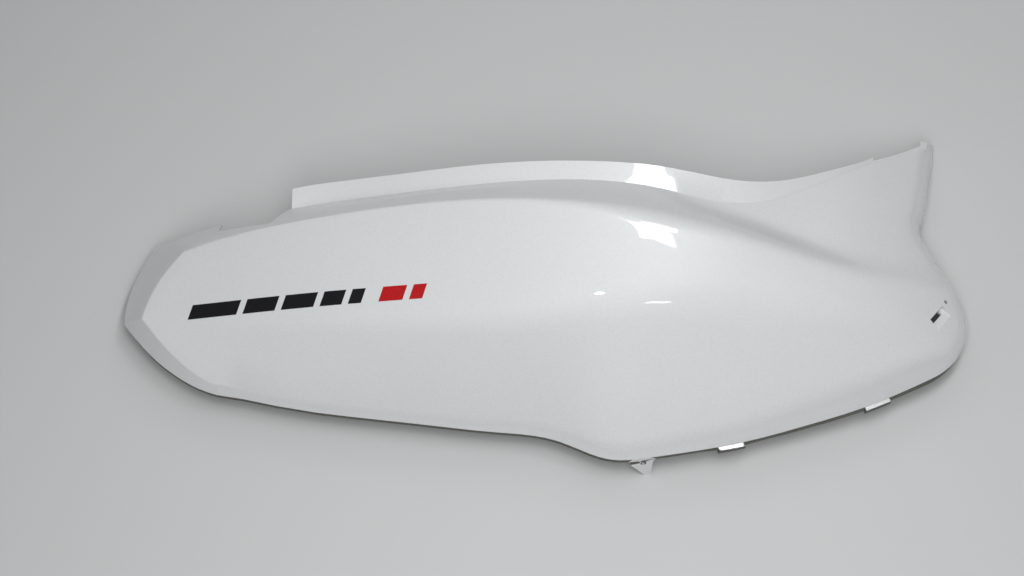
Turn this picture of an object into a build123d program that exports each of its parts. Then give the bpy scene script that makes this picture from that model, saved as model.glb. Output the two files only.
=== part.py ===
from build123d import *
import math
import os

# Rear side panel of a scooter, lying on its open side as it comes to rest.
# X runs to the vehicle's front, Y to its seat, Z out of the painted face. Millimetres.

# Walls and edges
WALL = 2.5
CREASE_RADIUS = 2.5
NOSE_ROLL = 28.0
NOSE_DRAFT = 6.0
NOSE_FLOOR = 5.0
TAIL_UPPER_SLOPE = 48.0
TAIL_LOWER_SLOPE = 60.0

# Return lip under the lower edge
LIP_SETBACK = 1.0
LIP_DEPTH = 4.7
LIP_FADE = 60.0

# Seat flange along the upper edge
FLANGE_WALL = 2.5
FLANGE_START = -240.0
FLANGE_END = 318.0
FLANGE_TUCK = 4.0
FLANGE_STEP = 1.4
STEP_START = 142.0
STEP_END = 216.0
FIN_LIP_WIDTH = 3.4
FIN_LIP_STATIONS = [315.0, 345.0, 376.0]

# Two locating tabs under the lower edge
TAB_PLACES = [168.5, 305.0]
TAB_WIDTH = 26.0
TAB_REACH = 3.4
TAB_HEIGHT = 8.5
TAB_DROP = 0.6
CORNER_ROUND = 1.5

# Screw lug under the middle of the lower edge
LUG_X = 88.0
LUG_WALL = 3.0
LUG_LEAN = 15.0
LUG_TUCK = 4.5
LUG_OUTLINE = [(-12, 2.5), (8, 2.5), (8, -26), (6, -32), (2, -32), (-12, -12)]
LUG_HOLE = 5.5
LUG_HOLE_DROP = 11.5
STRUT_WALL = 2.4
STRUT_OUTLINE = [(7, -13), (19.5, -1), (19.5, 2), (15, 2), (7, -7)]

# Screw ear inside the tail
EAR_X = -343.0
EAR_Y = 46.0
EAR_WIDTH = 22.0
EAR_WALL = 3.0
EAR_HOLE = 5.5
EAR_HOLE_HEIGHT = 11.0
EAR_RIB = 12.0
EAR_RIB_FOOT = 24.0

# Pocket, slot and pilot hole in the nose; the pitch runs along the slot, the tilt across it
POCKET_X = 360.7
POCKET_Y = -23.0
POCKET_Z = 50.6
POCKET_TURN = 49.0
POCKET_PITCH = 13.0
POCKET_TILT = 6.0
POCKET_LENGTH = 22.0
POCKET_WIDTH = 12.0
POCKET_HEIGHT = 40.0
SLOT_PLACE = -2.5
SLOT_LENGTH = 16.5
SLOT_WIDTH = 4.6
PILOT_HOLE = 3.6
PILOT_PLACE = 16.8

# Small tongue at the fin's upper corner
TONGUE_X = 374.5
TONGUE_WIDTH = 7.5
TONGUE_REACH = 9.0
TONGUE_DROP = 7.5

# Stripes of thin vinyl on the side
STRIPE_FILM = 0.35
STRIPE_HEIGHT = 13.0
STRIPE_SLANT = 20.0
STRIPE_START = -329.0
STRIPE_Y = -25.5
STRIPE_FALL = 1.5
STRIPE_GAP = 6.0
DARK_STRIPES = [46.0, 30.0, 30.0, 20.0, 12.0]
RED_GAP = 16.0
RED_STRIPES = [22.0, 12.0]

# Heights of the lower edge, across the panel: (y, z)
EDGE_LINE = [(-230, 29), (-29, 29), (184, 0), (330, -20)]

# Notch in the tail's upper edge, in plan
NOTCH = [(-307, 140), (-307, 57.5), (-262, 60.5), (-253, 77.5), (-250, 140)]

# Guide lines of the painted skin, each a short row of places along X: (x, y, z)
RIM = [
    (-430, -94, 29), (-300, -99, 29), (-225, -110, 29), (-135, -121, 29), (-45, -131, 29),
    (12, -140, 29), (58, -157, 29), (95, -155, 29), (140, -148, 29), (185, -139, 29),
    (232, -126, 29), (278, -112, 29), (326, -93, 29), (356, -79, 29), (412, -58, 20),
]
RIDGE = [
    (-430, -36, 40), (-372, -36, 52), (-320, -39, 61), (-225, -44, 78), (-133, -48, 89),
    (-43, -50, 99), (48, -42, 109), (100, -38, 111), (182, -34, 105), (275, -35, 87),
    (324, -34, 71), (356, -32, 57), (396, -28, 37), (412, -26, 28),
]
CREST = [
    (-430, 8, 49), (-372, 22, 62), (-334, 35, 71), (-275, 46, 86), (-181, 56, 105),
    (-89, 61, 119), (2, 57, 129), (48, 51, 131), (100, 43, 129), (138, 37, 125),
    (175, 30, 118), (212, 21, 108), (249, 12, 97), (277, 5, 89), (324, 0, 73),
    (356, 0, 60), (396, 0, 39), (412, 0, 30),
]
FOOT = [
    (-430, 50, 9), (-372, 61, 22), (-345, 66.5, 38), (-308, 67.5, 56), (-252, 78, 65),
    (-185, 84, 75), (-90, 90, 90), (3, 94, 98), (50, 93, 99), (100, 88, 96),
    (143, 79, 92), (172, 74, 89), (200, 77, 84), (260, 103, 71), (303, 127, 60),
    (335, 142.8, 48), (357, 153.3, 39.5), (372, 162.5, 34), (391, 177, 27), (412, 192, 20),
]
FLANGE = [
    (-243, 98, 70), (-185, 103, 78), (-90, 109, 93), (4, 112, 101), (50, 111, 102),
    (88, 109, 101), (125, 105, 97), (163, 99, 91), (192, 98, 86), (221, 103, 79),
    (262, 115, 68), (294, 131, 58), (318, 143, 50),
]
# Hollow between the shoulder and the fin: (x, share of the way from crest to foot, drop)
VALLEY = [
    (-430, 0.6, 0), (50, 0.7, 0), (100, 0.74, 2), (142, 0.68, 6), (180, 0.56, 9),
    (216, 0.37, 10), (253, 0.23, 8), (280, 0.18, 5), (324, 0.18, 3), (412, 0.2, 1),
]
# Turned-down band above the lower edge: (x, lean, rise)
BAND = [
    (-430, 4, 7), (-225, 5, 8), (0, 7, 11), (58, 8, 12), (150, 9, 15),
    (250, 12, 20), (350, 15, 20), (412, 12, 5),
]
# Softness of each line: (x, band, ridge, crest, valley), the reach of the rounding
SOFTNESS = [
    (-430, 3, 10, 2.5, 3), (-100, 4, 12, 3, 3), (20, 6, 16, 7, 3), (60, 7, 18, 12, 4),
    (100, 8, 20, 17, 6), (142, 9, 22, 18, 8), (180, 10, 22, 15, 11), (216, 11, 20, 11, 10),
    (253, 12, 18, 9, 9), (324, 11, 14, 8, 8), (385, 5, 8, 8, 8), (412, 4, 5, 8, 8),
]
STATIONS = [
    -430, -365, -300, -210, -120, -45, 10, 55, 95, 142, 190, 235, 290, 324, 356, 385, 412,
]
FLANGE_STATIONS = [-160, -80, 0, 55, 95, 142, 190, 235, 285]

# Plan outlines of the tail's two walls at the height of the lower edge, and of the front at the floor
TAIL_LEVEL = 29.0
TAIL_TOP = 80.0
TAIL_END = -304.0
TAIL_UPPER = [(-310, 128), (-352, 78), (-377, 40), (-391, 8), (-396.3, -18), (-397, -60), (-392, -130)]
TAIL_LOWER = [
    (-440, 35), (-410, -9), (-391.8, -30.4), (-370, -54.7), (-345, -75.2), (-320, -89.4),
    (-295, -97.3), (-260, -105.5), (-225, -114), (-180, -126),
]
FRONT_EDGE = [
    (320, -150), (357, -91), (384, -63), (397.5, -38), (399, -14), (391, 10), (379, 38),
    (366.5, 66), (370, 90), (381, 134), (389, 170), (398, 240),
]
FRONT_START = 345.0
FIN_CORNER_Y = 150.0

# Space round the panel for solids that are cut back to it
LOW = -10.0
HIGH = 150.0
FAR = 500.0
OVERCUT = 6.0


def along(line, x, column=1):
    """Value of a guide line at x, on a smooth curve through its points."""
    xs = [p[0] for p in line]
    vs = [p[column] for p in line]
    i = max(0, min(len(xs) - 2, sum(1 for place in xs[1:-1] if place <= x)))
    slopes = [(vs[k + 1] - vs[k]) / (xs[k + 1] - xs[k]) for k in range(len(xs) - 1)]

    def tangent(k):
        if k == 0:
            return slopes[0]
        if k == len(xs) - 1:
            return slopes[-1]
        before = xs[k] - xs[k - 1]
        after = xs[k + 1] - xs[k]
        return (slopes[k - 1] * after + slopes[k] * before) / (before + after)

    span = xs[i + 1] - xs[i]
    t = (x - xs[i]) / span
    a = vs[i] * (1 + 2 * t) * (1 - t) ** 2 + tangent(i) * span * t * (1 - t) ** 2
    b = vs[i + 1] * t ** 2 * (3 - 2 * t) + tangent(i + 1) * span * t ** 2 * (t - 1)
    return a + b


def inset(points, distance):
    """Open row of plane points moved to its left side by a distance, corners mitred."""
    ways = []
    for (a, b), (c, d) in zip(points, points[1:]):
        length = math.hypot(c - a, d - b)
        ways.append(((c - a) / length, (d - b) / length))
    moved = []
    for (a, b), before, after in zip(points, [ways[0], *ways], [*ways, ways[-1]]):
        normal = (-before[1] - after[1], before[0] + after[0])
        scale = distance / (normal[1] * before[0] - normal[0] * before[1])
        moved.append((a + normal[0] * scale, b + normal[1] * scale))
    return moved


def softened(points, reaches):
    """Edges of a row of 3-D points whose inner corners are rounded over the given reach."""
    edges = []
    start = Vector(*points[0])
    for before, corner, after, reach in zip(points, points[1:], points[2:], reaches):
        corner = Vector(*corner)
        into = (corner - Vector(*before)).normalized()
        out = (Vector(*after) - corner).normalized()
        first = corner - into * reach
        last = corner + out * reach
        edges.append(Edge.make_line(start, first))
        edges.append(Edge.make_bezier(first, corner, last))
        start = last
    edges.append(Edge.make_line(start, Vector(*points[-1])))
    return edges


def skin_line(x):
    """Corner points (y, z) of the painted skin across the panel at x, from rim to foot."""
    rim = (along(RIM, x), along(RIM, x, 2))
    band = (rim[0] + along(BAND, x), rim[1] + along(BAND, x, 2))
    ridge = (along(RIDGE, x), along(RIDGE, x, 2))
    crest = (along(CREST, x), along(CREST, x, 2))
    foot = (along(FOOT, x), along(FOOT, x, 2))
    share = along(VALLEY, x)
    valley = (
        crest[0] + share * (foot[0] - crest[0]),
        crest[1] + share * (foot[1] - crest[1]) - along(VALLEY, x, 2),
    )
    return [rim, band, ridge, crest, valley, foot]


def skin_section(x, depth):
    """Closed wire across the panel: the skin set in by a depth, its sides and its base."""
    line = inset(skin_line(x), -depth)
    reaches = [along(SOFTNESS, x, column) for column in (1, 2, 3, 4)]
    low = LOW - abs(depth)
    rim, band = line[:2]
    lean = (band[0] - rim[0]) / (band[1] - rim[1])
    line[0] = (rim[0] - (rim[1] - low) * lean, low)
    if depth > 0:
        before, foot = line[-2:]
        fall = (foot[1] - before[1]) / (foot[0] - before[0])
        line[-1] = (foot[0] + OVERCUT, foot[1] + OVERCUT * fall)
    points = [(x, y, z) for y, z in line]
    corner = (x, line[-1][0], low)
    edges = softened(points, reaches)
    edges.append(Edge.make_line(points[-1], corner))
    edges.append(Edge.make_line(corner, points[0]))
    return Wire(edges)


def skin_body(depth):
    """Solid under the painted skin, from tail to nose, before its ends are shaped."""
    return Solid.make_loft([skin_section(x, depth) for x in STATIONS])


def ring(edges, corners):
    """Closed wire from a row of edges and the corners that lead back to its start."""
    places = [edges[-1] @ 1, *[Vector(*corner) for corner in corners], edges[0] @ 0]
    return Wire(edges + [Edge.make_line(a, b) for a, b in zip(places, places[1:])])


def tail_wall(outline, slope, depth):
    """Everything on the inner side of one sloping wall of the tail."""
    levels = []
    slope = math.radians(slope)
    for z in (2 * LOW, TAIL_TOP):
        corners = inset(outline, (z - TAIL_LEVEL) / math.tan(slope) + depth / math.sin(slope))
        edges = [Edge.make_spline([(x, y, z) for x, y in corners])]
        levels.append(ring(edges, [(FAR, -FAR, z), (FAR, FAR, z), (-FAR, FAR, z)]))
    return Solid.make_loft(levels, ruled=True)


def tail_block(depth):
    """Everything inside the two sloping walls that close the tail."""
    upper = tail_wall(TAIL_UPPER, TAIL_UPPER_SLOPE, depth)
    lower = tail_wall(TAIL_LOWER, TAIL_LOWER_SLOPE, depth)
    rest = Pos(TAIL_END + FAR, 0, HIGH / 2) * Box(2 * FAR, 2 * FAR, HIGH + 4 * abs(LOW))
    return (upper & lower) + rest


def front_block(depth):
    """Everything behind the wall that closes the nose and the fin."""
    levels = []
    draft = math.radians(NOSE_DRAFT)
    for z in (2 * LOW, HIGH):
        corners = inset(FRONT_EDGE, z * math.tan(draft) + depth / math.cos(draft))
        edges = [Edge.make_spline([(x, y, z) for x, y in corners])]
        levels.append(ring(edges, [(-FAR, FAR, z), (-FAR, -FAR, z)]))
    return Solid.make_loft(levels, ruled=True)


def panel_body(depth):
    """Full solid under the skin at a depth, with its nose and tail rounded and its tail creased."""
    blank = (skin_body(depth) & front_block(depth)).solid()
    front = [edge for edge in blank.edges() if edge.center().X > FRONT_START]
    front = [edge for edge in front if edge.center().Z > NOSE_FLOOR]
    nose = [edge for edge in front if edge.center().Y < FIN_CORNER_Y]
    blank = (blank.fillet(NOSE_ROLL - depth, nose) & tail_block(depth)).solid()
    if depth > 0:
        return blank
    back = [edge for edge in blank.edges() if edge.bounding_box().max.X < TAIL_END]
    crease = [edge for edge in back if edge.center().Z > TAIL_LEVEL]
    return blank.fillet(CREASE_RADIUS, crease)


def above(line, drop):
    """Everything above an edge line given across the panel, lowered by a distance."""
    floor = [(y, z - drop) for y, z in line]
    outline = floor + [(floor[-1][0], HIGH), (floor[0][0], HIGH)]
    face = Plane.YZ * make_face(Polyline(*outline, close=True))
    return extrude(face, FAR, both=True)


def return_lip(inner):
    """Thin lip under the lower edge, set back from the painted face."""
    low_line = [(y, z - LIP_DEPTH) for y, z in EDGE_LINE if y < -LIP_FADE]
    low_line += [(-LIP_FADE, EDGE_LINE[1][1] - LIP_DEPTH), (0, EDGE_LINE[1][1] - WALL)]
    low_line += EDGE_LINE[2:]
    zone = above(low_line, 0) - above(EDGE_LINE, -1)
    ends = Pos(0, -FAR / 2, 0) * Box(2 * FAR, FAR, 2 * HIGH)
    return (panel_body(LIP_SETBACK) & zone & ends) - inner


def notch():
    """Cutter for the step in the tail's upper edge."""
    return extrude(make_face(Polyline(*NOTCH, close=True)), HIGH)


def strip_section(x, inner, outer, wall):
    """Closed wire across a flat strip between two places (y, z) on its upper face."""
    points = [(x, y, z) for y, z in (inner, outer)]
    points += [(x, y, z - wall) for y, z in (outer, inner)]
    return Wire(Polyline(*points, close=True).edges())


def flange():
    """Strip that carries the seat side, tucked into the skin's upper edge."""
    sections = []
    for x in [FLANGE_START, *FLANGE_STATIONS, FLANGE_END]:
        foot = (along(FOOT, x) - FLANGE_TUCK, along(FOOT, x, 2))
        outer = (along(FLANGE, x), along(FLANGE, x, 2))
        step = FLANGE_STEP * max(0.0, min(1.0, (x - STEP_START) / (STEP_END - STEP_START)))
        sections.append(strip_section(x, (foot[0], foot[1] - step), outer, FLANGE_WALL))
    return Solid.make_loft(sections)


def fin_lip():
    """Narrow lip that carries the flange's line on to the fin's corner."""
    sections = []
    for x in FIN_LIP_STATIONS:
        y = along(FOOT, x)
        z = along(FOOT, x, 2) - FLANGE_STEP
        sections.append(strip_section(x, (y - FLANGE_TUCK, z), (y + FIN_LIP_WIDTH, z), WALL))
    return Solid.make_loft(sections)


def edge_frame(x):
    """Place on the lower edge at x, its first axis along the edge and its second outward."""
    ahead = (along(RIM, x + 1) - along(RIM, x - 1)) / 2
    turn = math.degrees(math.atan(ahead))
    return Pos(x, along(RIM, x), EDGE_LINE[0][1]) * Rot(0, 0, turn)


def locating_tab(x):
    """Tongue beside the lip that drops into the trim below."""
    depth = TAB_REACH + LIP_SETBACK + WALL / 2
    block = Box(TAB_WIDTH, depth, TAB_HEIGHT)
    block = fillet(block.edges().filter_by(Axis.Y), CORNER_ROUND)
    return edge_frame(x) * Pos(0, depth / 2 - TAB_REACH, -TAB_HEIGHT / 2 - TAB_DROP) * block


def screw_lug():
    """Tongue with a screw hole and a strut, reaching down to the surface it rests on."""
    plate = extrude(Plane.XZ * make_face(Polyline(*LUG_OUTLINE, close=True)), LUG_WALL)
    strut = extrude(Plane.XZ * make_face(Polyline(*STRUT_OUTLINE, close=True)), STRUT_WALL)
    hole = Pos(0, 0, -LUG_HOLE_DROP) * Rot(90, 0, 0) * Cylinder(LUG_HOLE / 2, 8 * LUG_WALL)
    lug = edge_frame(LUG_X) * Pos(0, LUG_TUCK, 0) * Rot(-LUG_LEAN, 0, 0) * (plate + strut - hole)
    return lug & (Pos(0, 0, HIGH / 2) * Box(2 * FAR, 2 * FAR, HIGH))


def tail_ear(outer):
    """Screw ear inside the tail, braced by two ribs and reaching down to the surface."""
    plate = Pos(EAR_X, EAR_Y, HIGH / 2) * Box(EAR_WIDTH, EAR_WALL, HIGH)
    ribs = [
        Pos(EAR_X + side * (EAR_WIDTH - WALL) / 2, EAR_Y - EAR_RIB / 2, HIGH / 2 + EAR_RIB_FOOT)
        * Box(WALL, EAR_RIB, HIGH)
        for side in (-1, 1)
    ]
    hole = Pos(EAR_X, EAR_Y, EAR_HOLE_HEIGHT) * Rot(90, 0, 0) * Cylinder(EAR_HOLE / 2, 4 * EAR_WALL)
    return ((plate + ribs) & outer) - hole


def nose_pocket(outer):
    """Sunken pocket in the nose: what it adds, and what it cuts away."""
    frame = Pos(POCKET_X, POCKET_Y, POCKET_Z) * Rot(0, 0, POCKET_TURN)
    frame = frame * Rot(0, POCKET_PITCH, 0) * Rot(POCKET_TILT, 0, 0)
    middle = Pos(0, -POCKET_WIDTH / 2, POCKET_HEIGHT / 2)
    hollow = frame * middle * Box(POCKET_LENGTH, POCKET_WIDTH, POCKET_HEIGHT)
    tray_size = (POCKET_LENGTH + 2 * WALL, POCKET_WIDTH + 2 * WALL)
    tray = frame * middle * Pos(0, 0, -WALL) * Box(*tray_size, POCKET_HEIGHT)
    slot = frame * Pos(SLOT_PLACE, -SLOT_WIDTH / 2, 0) * Box(SLOT_LENGTH, SLOT_WIDTH, 6 * WALL)
    pilot = frame * Pos(PILOT_PLACE, 0, 0) * Cylinder(PILOT_HOLE / 2, 8 * WALL)
    return tray & outer, [hollow, slot, pilot]


def corner_tongue():
    """Small tongue that stands out of the fin's edge beside its upper corner."""
    x = TONGUE_X
    fall = (along(FOOT, x + 1, 2) - along(FOOT, x - 1, 2)) / 2
    tongue = Box(TONGUE_WIDTH, 2 * TONGUE_REACH, WALL)
    tongue = fillet(tongue.edges().filter_by(Axis.Z), CORNER_ROUND)
    tilt = math.degrees(math.atan(-fall))
    return Pos(x, along(FOOT, x), along(FOOT, x, 2) - TONGUE_DROP) * Rot(0, tilt, 0) * tongue


def stripes(lengths, start):
    """Slanted bars of film on the skin, one solid each, from a place along X."""
    film = skin_body(-STRIPE_FILM)
    skin = skin_body(0)
    lean = STRIPE_HEIGHT * math.tan(math.radians(STRIPE_SLANT)) / 2
    half = STRIPE_HEIGHT / 2
    bars = []
    for length in lengths:
        end = start + length
        corners = [(start - lean, -half), (end - lean, -half), (end + lean, half), (start + lean, half)]
        face = make_face(Polyline(*[(x - STRIPE_START, y) for x, y in corners], close=True))
        prism = extrude(Pos(STRIPE_START, STRIPE_Y, 0) * Rot(0, 0, STRIPE_FALL) * face, HIGH)
        bars.append(((prism & film) - skin).solid())
        start = end + STRIPE_GAP
    return bars


def side_panel():
    """The moulded panel: shell, lip, flange, tabs, lugs, pocket."""
    outer = panel_body(0)
    inner = panel_body(WALL)
    shell = ((outer & above(EDGE_LINE, 0)) - inner) + return_lip(inner)
    shell = shell + flange() + fin_lip() - notch()
    shell = shell + [locating_tab(x) for x in TAB_PLACES]
    shell = shell + screw_lug() + tail_ear(outer) + corner_tongue()
    tray, cuts = nose_pocket(outer)
    return shell + tray - cuts


os.makedirs("parts", exist_ok=True)
panel = side_panel()
box = panel.bounding_box()
home = Pos(-box.center().X, -box.center().Y, -box.min.Z)
red_start = STRIPE_START + sum(DARK_STRIPES) + STRIPE_GAP * (len(DARK_STRIPES) - 1) + RED_GAP
dark = Compound(stripes(DARK_STRIPES, STRIPE_START))
red = Compound(stripes(RED_STRIPES, red_start))
export_step(home * panel, "parts/side_panel.step")
export_step(home * dark, "parts/dark_stripes.step")
export_step(home * red, "parts/red_stripes.step")
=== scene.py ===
import math

import bpy
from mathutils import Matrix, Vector
from mathutils.kdtree import KDTree


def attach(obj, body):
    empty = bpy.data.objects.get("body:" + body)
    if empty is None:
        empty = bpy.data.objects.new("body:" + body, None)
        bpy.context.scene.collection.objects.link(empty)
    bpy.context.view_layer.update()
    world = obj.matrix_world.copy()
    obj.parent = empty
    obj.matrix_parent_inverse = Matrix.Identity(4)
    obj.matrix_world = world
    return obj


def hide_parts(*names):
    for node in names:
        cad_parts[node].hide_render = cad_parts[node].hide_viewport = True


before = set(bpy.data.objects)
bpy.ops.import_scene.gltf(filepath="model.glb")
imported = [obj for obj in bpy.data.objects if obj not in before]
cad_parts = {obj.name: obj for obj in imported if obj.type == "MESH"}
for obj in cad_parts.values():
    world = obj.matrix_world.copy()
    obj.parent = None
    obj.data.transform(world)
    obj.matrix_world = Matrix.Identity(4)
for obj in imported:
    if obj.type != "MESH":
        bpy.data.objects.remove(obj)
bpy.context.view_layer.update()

# Lengths are in metres, in the frame of the CAD model

# Camera: the point it looks at, its height as an angle and how far off it stands
AIM = Vector((-0.0308, -0.0075, 0.0600))
ELEVATION = math.radians(66)
DISTANCE = 1.5872
LENS_MM = 60.0
SENSOR_MM = 36.0

# Mesh: corners this near are one, and edges sharper than this stay sharp
MERGE_DISTANCE = 0.000005
SHARP_ANGLE = math.radians(24)

# A face that looks down at least this much is of the bare inner side, and the dark bare plastic,
# which also paints shade on the lip, is the second material of the moulding
UNDERSIDE = -0.02
BARE_AND_LIP_SHADE_SLOT = 1

# The lip under the painted lower edge, given the dark grey as painted shade of the gap under the
# edge:
# heights, where it ends, and how flat and how steep its faces are; flatter faces such as the tabs'
# tops keep the white paint
EDGE_HEIGHT = 0.0292
LIP_TOP = 0.0285
LIP_FOOT = 0.0241
LIP_END = -0.037
LIP_FLATTEST = 0.8
LIP_STEEPEST = 0.1

# How far the lip is drawn in, where that fades out, and how far from a lip face it reaches
LIP_TUCK = 0.0013
LIP_TUCK_FADE = (0.17, 0.23)
LIP_REACH = 0.02

# The painted screw lug that interrupts the lip: its faces are steeper than the lip's
LUG_SPAN = (0.076, 0.1035)
LUG_FLATTEST = 0.4

# Where the lower wall meets the tail's wall, and how far it is drawn in there
JOINT_X = -0.3029
JOINT_END = -0.220
JOINT_Y = -0.092
JOINT_STEP = 0.0039
JOINT_HEIGHTS = (0.036, 0.0405)

# The tail's own wall leans in with its height; corners nearer to it than this belong to it
TAIL_WALL_LEAN = 0.604
TAIL_WALL_FOOT = 0.1197
TAIL_WALL_NEAR = 0.0005

# Waist in the front edge between the nose and the fin: depth, and where it comes and goes
WAIST_DEPTH = 0.003
WAIST_FRONT = (0.325, 0.36)
WAIST_START = (-0.01, 0.025)
WAIST_FINISH = (0.062, 0.09)

# Notch in the tail's upper edge
NOTCH_PLACE = (-0.281, 0.0605, 0.06)
NOTCH_SIZE = (0.0505, 0.0260, 0.2)
NOTCH_SLANT = 0.017

BACKDROP_SIZE = 9.0

# Brightness of the room: from its dim floor to its ceiling, and of the wall that the camera sees
ROOM_DIM = 0.03
ROOM_BRIGHT = 0.14
WALL_BRIGHT = 0.42

# Numbers of the sockets of a mix node that are for colours
MIX_FACTOR, MIX_FIRST, MIX_SECOND, MIX_RESULT = 0, 6, 7, 2


def only(piece):
    """Select one object and make it the active one."""
    bpy.ops.object.select_all(action="DESELECT")
    piece.select_set(True)
    bpy.context.view_layer.objects.active = piece


# Effects that more than one material uses


def new_group(name, inputs, outputs):
    """Empty shader group with named float, colour or vector sockets."""
    group = bpy.data.node_groups.new(name, "ShaderNodeTree")
    for label, kind, value in inputs:
        socket = group.interface.new_socket(label, in_out="INPUT", socket_type=kind)
        if value is not None:
            socket.default_value = value
    for label, kind in outputs:
        group.interface.new_socket(label, in_out="OUTPUT", socket_type=kind)
    return group, group.nodes.new("NodeGroupInput"), group.nodes.new("NodeGroupOutput")


def add(tree, kind, **values):
    """New node with properties and input values set by name; spaces in names are underscores."""
    node = tree.nodes.new(kind)
    for key, value in values.items():
        if hasattr(node, key):
            setattr(node, key, value)
        else:
            node.inputs[key.replace("_", " ")].default_value = value
    return node


def orange_peel():
    """Slow waves and fine grain of a sprayed surface, as a height."""
    group, given, result = new_group(
        "orange peel",
        [("Vector", "NodeSocketVector", None), ("Wave size", "NodeSocketFloat", 160.0)],
        [("Height", "NodeSocketFloat")],
    )
    waves = add(group, "ShaderNodeTexNoise", Detail=2.0, Roughness=0.4)
    group.links.new(given.outputs["Vector"], waves.inputs["Vector"])
    group.links.new(given.outputs["Wave size"], waves.inputs["Scale"])
    group.links.new(waves.outputs["Fac"], result.inputs["Height"])
    return group


def mica():
    """Tiny flakes of pearl: a brightness for each flake."""
    group, given, result = new_group(
        "mica flakes",
        [("Vector", "NodeSocketVector", None), ("Flake density", "NodeSocketFloat", 1400.0)],
        [("Sparkle", "NodeSocketFloat")],
    )
    cells = add(group, "ShaderNodeTexVoronoi")
    group.links.new(given.outputs["Vector"], cells.inputs["Vector"])
    group.links.new(given.outputs["Flake density"], cells.inputs["Scale"])
    parts = add(group, "ShaderNodeSeparateColor")
    group.links.new(cells.outputs["Color"], parts.inputs["Color"])
    group.links.new(parts.outputs["Red"], result.inputs["Sparkle"])
    return group


def handling():
    """Patches wiped duller or shinier and sparse fine dust, as a roughness."""
    group, given, result = new_group(
        "handling marks",
        [
            ("Vector", "NodeSocketVector", None),
            ("Patch size", "NodeSocketFloat", 9.0),
            ("Dust density", "NodeSocketFloat", 260.0),
            ("Shiny", "NodeSocketFloat", 0.36),
            ("Dull", "NodeSocketFloat", 0.48),
        ],
        [("Roughness", "NodeSocketFloat"), ("Dust", "NodeSocketFloat")],
    )
    patches = add(group, "ShaderNodeTexNoise", Detail=6.0, Roughness=0.65)
    group.links.new(given.outputs["Vector"], patches.inputs["Vector"])
    group.links.new(given.outputs["Patch size"], patches.inputs["Scale"])
    level = add(group, "ShaderNodeMapRange", From_Min=0.3, From_Max=0.7)
    group.links.new(patches.outputs["Fac"], level.inputs["Value"])
    group.links.new(given.outputs["Shiny"], level.inputs["To Min"])
    group.links.new(given.outputs["Dull"], level.inputs["To Max"])
    group.links.new(level.outputs["Result"], result.inputs["Roughness"])
    grains = add(group, "ShaderNodeTexVoronoi")
    group.links.new(given.outputs["Vector"], grains.inputs["Vector"])
    group.links.new(given.outputs["Dust density"], grains.inputs["Scale"])
    speck = add(
        group, "ShaderNodeMapRange", From_Min=0.06, From_Max=0.10, To_Min=1.0, To_Max=0.0
    )
    group.links.new(grains.outputs["Distance"], speck.inputs["Value"])
    group.links.new(speck.outputs["Result"], result.inputs["Dust"])
    return group


PEEL = orange_peel()
MICA = mica()
HANDLING = handling()


# Materials


def new_material(name):
    """Material with its tree, its main shader and its object coordinates."""
    material = bpy.data.materials.new(name)
    material.use_nodes = True
    tree = material.node_tree
    shader = tree.nodes["Principled BSDF"]
    place = tree.nodes.new("ShaderNodeTexCoord").outputs["Object"]
    return material, tree, shader, place


def place_group(tree, group, place, **values):
    """A shared effect put into a material, with this material's own values."""
    node = tree.nodes.new("ShaderNodeGroup")
    node.node_tree = group
    tree.links.new(place, node.inputs["Vector"])
    for key, value in values.items():
        node.inputs[key.replace("_", " ")].default_value = value
    return node


def blend_colours(tree, factor, first, second):
    """Colour between two, led by a factor; the first may be a socket."""
    node = add(tree, "ShaderNodeMix", data_type="RGBA")
    tree.links.new(factor, node.inputs[MIX_FACTOR])
    if isinstance(first, tuple):
        node.inputs[MIX_FIRST].default_value = (*first, 1)
    else:
        tree.links.new(first, node.inputs[MIX_FIRST])
    node.inputs[MIX_SECOND].default_value = (*second, 1)
    return node.outputs[MIX_RESULT]


def bumped(tree, height, shader, distance, strength):
    """Height turned into the normal of a shader."""
    node = add(tree, "ShaderNodeBump", Distance=distance, Strength=strength)
    tree.links.new(height, node.inputs["Height"])
    tree.links.new(node.outputs["Normal"], shader.inputs["Normal"])


def pearl_paint():
    """White pearl coat under a clear gloss coat."""
    material, tree, shader, place = new_material("pearl white paint")
    flakes = place_group(tree, MICA, place, Flake_density=1400.0)
    peel = place_group(tree, PEEL, place, Wave_size=170.0)
    marks = place_group(
        tree, HANDLING, place, Patch_size=7.0, Dust_density=240.0, Shiny=0.38, Dull=0.46
    )
    pearl, bright_pearl, dust = (0.765, 0.785, 0.795), (0.82, 0.84, 0.85), (0.70, 0.71, 0.70)
    coat = blend_colours(tree, flakes.outputs["Sparkle"], pearl, bright_pearl)
    colour = blend_colours(tree, marks.outputs["Dust"], coat, dust)
    tree.links.new(colour, shader.inputs["Base Color"])
    tree.links.new(marks.outputs["Roughness"], shader.inputs["Roughness"])
    bumped(tree, peel.outputs["Height"], shader, distance=0.0001, strength=0.12)
    shader.inputs["Metallic"].default_value = 0.1
    shader.inputs["Coat Weight"].default_value = 1.0
    shader.inputs["Coat Roughness"].default_value = 0.03
    return material


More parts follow.
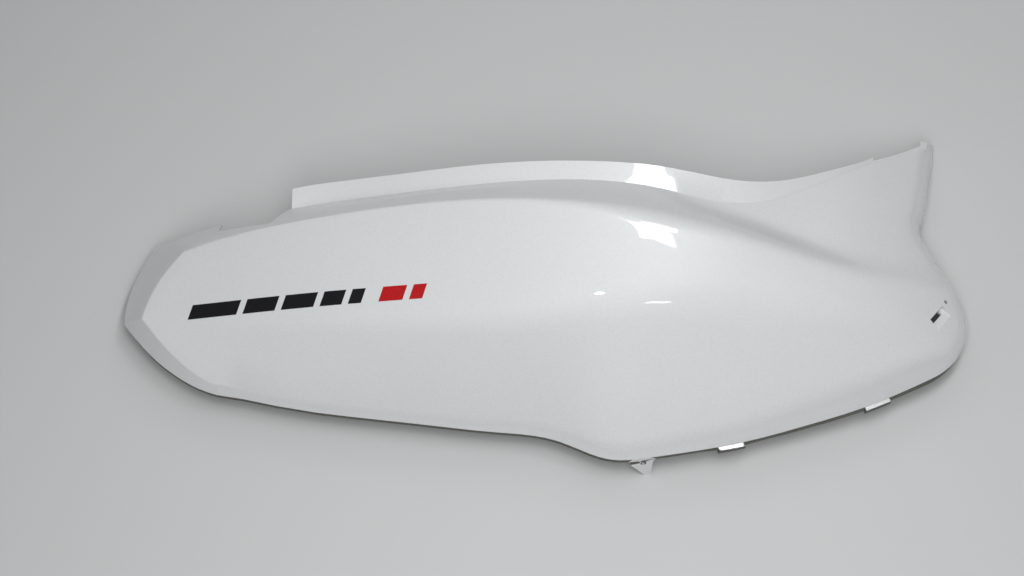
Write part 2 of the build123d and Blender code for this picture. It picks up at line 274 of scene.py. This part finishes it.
def bare_plastic_and_lip_shade():
    """Unpainted grey moulding with a fine grain, a slight mottle and a little dust; on the lip its
    dark grey is painted shade, standing for the shadow under the lower edge.
    """
    material, tree, shader, place = new_material("bare grey plastic and painted lip shade")
    grain = place_group(tree, PEEL, place, Wave_size=900.0)
    mottle = place_group(tree, MICA, place, Flake_density=700.0)
    marks = place_group(
        tree, HANDLING, place, Patch_size=14.0, Dust_density=180.0, Shiny=0.48, Dull=0.62
    )
    # Near-black greys: the inner side's own colour, and on the lip painted shade of the gap under
    # the edge
    dark, light, dust = (0.10, 0.10, 0.085), (0.14, 0.14, 0.12), (0.30, 0.30, 0.28)
    plain = blend_colours(tree, mottle.outputs["Sparkle"], dark, light)
    colour = blend_colours(tree, marks.outputs["Dust"], plain, dust)
    tree.links.new(colour, shader.inputs["Base Color"])
    tree.links.new(marks.outputs["Roughness"], shader.inputs["Roughness"])
    bumped(tree, grain.outputs["Height"], shader, distance=0.0001, strength=0.4)
    return material


def vinyl(name, dark, light, speck):
    """Thin satin film with a little mottling and a few specks."""
    material, tree, shader, place = new_material(name)
    peel = place_group(tree, PEEL, place, Wave_size=420.0)
    marks = place_group(
        tree, HANDLING, place, Patch_size=40.0, Dust_density=300.0, Shiny=0.26, Dull=0.38
    )
    plain = blend_colours(tree, peel.outputs["Height"], dark, light)
    colour = blend_colours(tree, marks.outputs["Dust"], plain, speck)
    tree.links.new(colour, shader.inputs["Base Color"])
    tree.links.new(marks.outputs["Roughness"], shader.inputs["Roughness"])
    bumped(tree, peel.outputs["Height"], shader, distance=0.00005, strength=0.2)
    return material


def table_sheet():
    """Pale grey backdrop sheet with faint fibre."""
    material, tree, shader, place = new_material("pale sheet")
    fibre = place_group(tree, PEEL, place, Wave_size=900.0)
    dark, light = (0.60, 0.605, 0.61), (0.64, 0.645, 0.65)
    colour = blend_colours(tree, fibre.outputs["Height"], dark, light)
    tree.links.new(colour, shader.inputs["Base Color"])
    shader.inputs["Roughness"].default_value = 0.75
    return material


PAINT = pearl_paint()
BARE_PLASTIC_AND_LIP_SHADE = bare_plastic_and_lip_shade()
DARK_FILM = vinyl(
    "black film", dark=(0.006, 0.006, 0.008), light=(0.012, 0.012, 0.014), speck=(0.05, 0.05, 0.05)
)
RED_FILM = vinyl(
    "red film", dark=(0.45, 0.006, 0.008), light=(0.52, 0.010, 0.012), speck=(0.55, 0.10, 0.10)
)
SHEET = table_sheet()


# The panel and its films


def ramp(value, start, end):
    """Smooth rise from 0 at the start to 1 at the end."""
    share = min(max((value - start) / (end - start), 0.0), 1.0)
    return share * share * (3 - 2 * share)


def ease_joint(mesh):
    """Lower wall drawn in behind the tail, so that it runs on from the tail's wall."""
    for corner in mesh.vertices:
        x, y, z = corner.co
        tail_wall = TAIL_WALL_LEAN * z - TAIL_WALL_FOOT
        stands_out = x > JOINT_X + TAIL_WALL_NEAR or y < tail_wall - TAIL_WALL_NEAR
        if x > JOINT_X and y < JOINT_Y and stands_out:
            along = 1 - ramp(x, JOINT_X, JOINT_END)
            upwards = 1 - ramp(z, *JOINT_HEIGHTS)
            corner.co.y += JOINT_STEP * along * upwards


def is_lip(mesh, face):
    """Whether a face is of the lip under the lower edge, which gets the dark grey as painted shade.
    """
    x, y = face.center.xy
    top = max(mesh.vertices[corner].co.z for corner in face.vertices)
    slope = face.normal.z
    lug = LUG_SPAN[0] < x < LUG_SPAN[1] and slope < LUG_FLATTEST
    return y < LIP_END and top < EDGE_HEIGHT and slope < LIP_FLATTEST and not lug


def tuck_lip(mesh):
    """Lip with its painted shade drawn in under the painted edge, more at the tail than at the
    nose.
    """
    walls = [face for face in mesh.polygons if face.normal.z > LIP_STEEPEST and is_lip(mesh, face)]
    places = KDTree(len(walls))
    for number, face in enumerate(walls):
        places.insert(face.center, number)
    places.balance()
    for corner in mesh.vertices:
        _, number, distance = places.find(corner.co)
        if LIP_FOOT < corner.co.z < LIP_TOP and distance < LIP_REACH:
            out = walls[number].normal.xy.normalized()
            tuck = LIP_TUCK - LIP_TUCK * ramp(corner.co.x, *LIP_TUCK_FADE)
            corner.co.xy -= out * tuck


def draw_in_waist(mesh):
    """Front edge drawn in a little between the nose and the fin."""
    for corner in mesh.vertices:
        x, y = corner.co.xy
        share = ramp(x, *WAIST_FRONT) * ramp(y, *WAIST_START) * (1 - ramp(y, *WAIST_FINISH))
        corner.co.x -= WAIST_DEPTH * share


def cut_notch(piece):
    """Notch in the tail's upper edge, cut to its full depth."""
    bpy.ops.object.select_all(action="DESELECT")
    bpy.ops.mesh.primitive_cube_add(size=1.0, location=NOTCH_PLACE)
    cutter = bpy.context.object
    cutter.scale = NOTCH_SIZE
    bpy.ops.object.transform_apply(location=True, rotation=True, scale=True)
    for corner in cutter.data.vertices:
        if corner.co.x > NOTCH_PLACE[0] and corner.co.y > NOTCH_PLACE[1]:
            corner.co.x += NOTCH_SLANT
    only(piece)
    cut = piece.modifiers.new("notch", "BOOLEAN")
    cut.operation = "DIFFERENCE"
    cut.solver = "EXACT"
    cut.object = cutter
    bpy.ops.object.modifier_apply(modifier=cut.name)
    bpy.data.objects.remove(cutter)


def moulding():
    """Smooth copy of the panel's shell with its corners kept."""
    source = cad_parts["side_panel"]
    piece = bpy.data.objects.new("panel_moulding", source.data.copy())
    bpy.context.scene.collection.objects.link(piece)
    only(piece)
    bpy.ops.object.mode_set(mode="EDIT")
    bpy.ops.mesh.customdata_custom_splitnormals_clear()
    bpy.ops.mesh.select_all(action="SELECT")
    bpy.ops.mesh.remove_doubles(threshold=MERGE_DISTANCE)
    bpy.ops.object.mode_set(mode="OBJECT")
    ease_joint(piece.data)
    draw_in_waist(piece.data)
    piece.data.update()
    tuck_lip(piece.data)
    cut_notch(piece)
    bpy.ops.object.shade_smooth_by_angle(angle=SHARP_ANGLE)
    piece.data.materials.clear()
    piece.data.materials.append(PAINT)
    piece.data.materials.append(BARE_PLASTIC_AND_LIP_SHADE)
    # Downward faces get the bare inner plastic; lip faces get the same dark grey as painted shade
    # of the gap under the lower edge
    for face in piece.data.polygons:
        if face.normal.z < UNDERSIDE or is_lip(piece.data, face):
            face.material_index = BARE_AND_LIP_SHADE_SLOT
    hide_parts("side_panel")
    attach(piece, "root")


def films():
    """The two sets of stripes keep their CAD shape and get their own finish."""
    for node, material in (("dark_stripes", DARK_FILM), ("red_stripes", RED_FILM)):
        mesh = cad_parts[node].data
        mesh.materials.clear()
        mesh.materials.append(material)


def backdrop():
    """Large pale sheet under the panel."""
    bpy.ops.object.select_all(action="DESELECT")
    bpy.ops.mesh.primitive_plane_add(size=BACKDROP_SIZE, location=(0, 0, 0))
    sheet = bpy.context.object
    sheet.name = "backdrop_sheet"
    sheet.data.materials.append(SHEET)


# Light and camera


def area_light(name, place, target, size, power, turn=0.0, reflected=True):
    """Soft rectangular light at a place, turned to a target, with or without a reflection."""
    data = bpy.data.lights.new(name, "AREA")
    data.shape = "RECTANGLE"
    data.size = size[0]
    data.size_y = size[1]
    data.energy = power
    light = bpy.data.objects.new(name, data)
    bpy.context.scene.collection.objects.link(light)
    light.location = place
    light.rotation_euler = (Vector(target) - Vector(place)).to_track_quat("-Z", "Y").to_euler()
    light.rotation_euler.z += math.radians(turn)
    light.visible_glossy = reflected


def room_light():
    """Room round the table: dim in the paint, brighter overhead, with a pale wall behind."""
    world = bpy.data.worlds.new("room")
    world.use_nodes = True
    tree = world.node_tree
    towards = tree.nodes.new("ShaderNodeTexCoord")
    axes = tree.nodes.new("ShaderNodeSeparateXYZ")
    tree.links.new(towards.outputs["Generated"], axes.inputs["Vector"])
    rise = add(
        tree, "ShaderNodeMapRange", interpolation_type="SMOOTHSTEP",
        From_Min=0.05, From_Max=1.0, To_Min=ROOM_DIM, To_Max=ROOM_BRIGHT,
    )
    tree.links.new(axes.outputs["Z"], rise.inputs["Value"])
    seen = tree.nodes.new("ShaderNodeLightPath")
    level = add(tree, "ShaderNodeMix", data_type="FLOAT")
    tree.links.new(seen.outputs["Is Camera Ray"], level.inputs["Factor"])
    tree.links.new(rise.outputs["Result"], level.inputs["A"])
    level.inputs["B"].default_value = WALL_BRIGHT
    shade = tree.nodes["Background"]
    shade.inputs["Color"].default_value = (0.98, 0.99, 1.0, 1)
    tree.links.new(level.outputs["Result"], shade.inputs["Strength"])
    bpy.context.scene.world = world


def lights():
    """Two overhead softboxes, small flash and lamp strip, fills from both sides and the room."""
    area_light(
        "softbox", place=(0.315, 0.17, 1.5), target=(0.315, 0.17, 0.0), size=(0.19, 0.28), power=2.1
    )
    area_light(
        "rear_softbox", place=(0.41, 0.42, 1.5), target=(0.41, 0.42, 0.0), size=(0.16, 0.30),
        power=1.9, turn=-14,
    )
    area_light(
        "long_fill", place=(0.05, -0.9, 1.6), target=(0.05, -0.9, 0.0), size=(0.7, 2.0),
        power=22.5, reflected=False,
    )
    area_light(
        "back_fill", place=(0.0, 1.3, 1.3), target=(0.0, 0.05, 0.0), size=(1.8, 0.5),
        power=3.0, reflected=False,
    )
    area_light(
        "lamp_strip", place=(0.34, -0.56, 1.5), target=(0.34, -0.56, 0.0), size=(0.13, 0.03),
        power=0.22,
    )
    flash = bpy.data.lights.new("flash", "POINT")
    flash.energy = 3.0
    flash.shadow_soft_size = 0.018
    spot = bpy.data.objects.new("flash", flash)
    spot.location = (-0.01, -0.23, 1.5)
    bpy.context.scene.collection.objects.link(spot)
    room_light()
    bpy.context.scene.view_settings.view_transform = "Standard"


def camera():
    """Camera above and in front of the panel, at the photograph's angle."""
    data = bpy.data.cameras.new("camera")
    data.lens = LENS_MM
    data.sensor_width = SENSOR_MM
    data.clip_start = 0.05
    lens = bpy.data.objects.new("camera", data)
    bpy.context.scene.collection.objects.link(lens)
    back = Vector((0, -math.cos(ELEVATION), math.sin(ELEVATION)))
    lens.location = AIM + back * DISTANCE
    lens.rotation_euler = (math.pi / 2 - ELEVATION, 0, 0)
    bpy.context.scene.camera = lens


camera()
lights()
backdrop()
moulding()
films()
